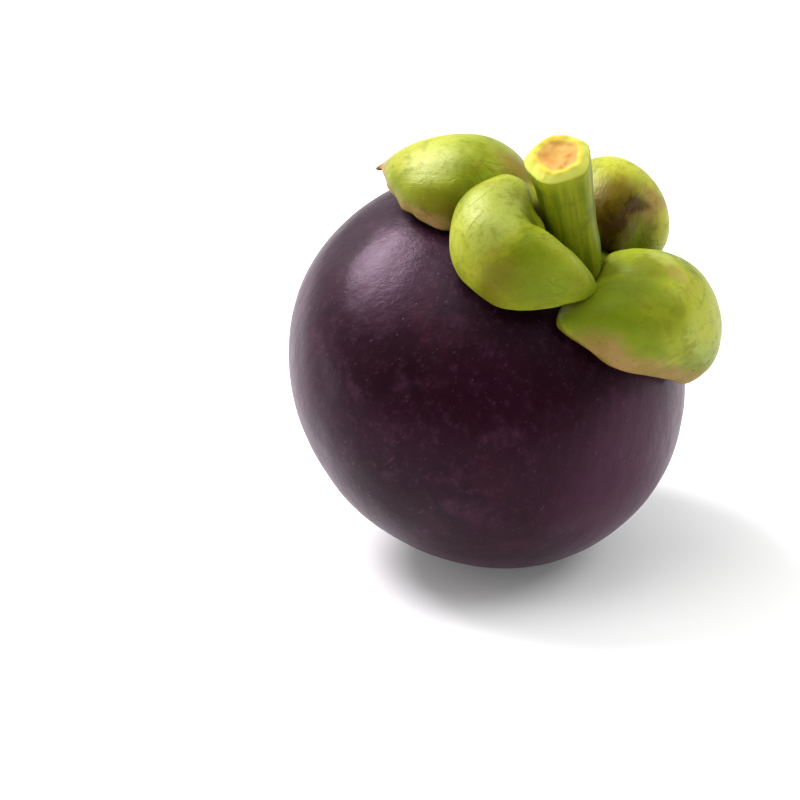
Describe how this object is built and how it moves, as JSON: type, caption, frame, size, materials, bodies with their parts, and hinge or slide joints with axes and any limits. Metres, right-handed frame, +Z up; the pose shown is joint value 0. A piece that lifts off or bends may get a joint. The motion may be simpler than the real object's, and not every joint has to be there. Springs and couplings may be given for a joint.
{
  "type": "mangosteen",
  "caption": "Whole round purple fruit lying tilted on a flat spot, with cupped green sepals around a cut stem and a small stigma rosette at the blossom end.",
  "frame": {"origin": "centre of the small flat spot that the fruit rests on", "axes": "+Z up from the surface that it lies on; the stem end leans over towards +X and -Y; -Y is the side the cut stem and the front sepal show on"},
  "size_m": [0.0621, 0.059, 0.068],
  "materials": {
    "rind": "waxy dark purple skin with a soft sheen, fine scratches and small dents",
    "sepal": "leathery yellow-green with olive and brown stains and a tan margin",
    "stem": "smooth yellow-green bark with lengthwise ridges and a pale cut face",
    "stigma": "dry brown, rough"
  },
  "bodies": {
    "root": {"fruit_body": "rind", "sepal_front": "sepal", "sepal_right": "sepal", "sepal_back": "sepal", "sepal_left": "sepal", "stem": "stem", "stigma_rosette": "stigma"}
  },
  "joints": []
}
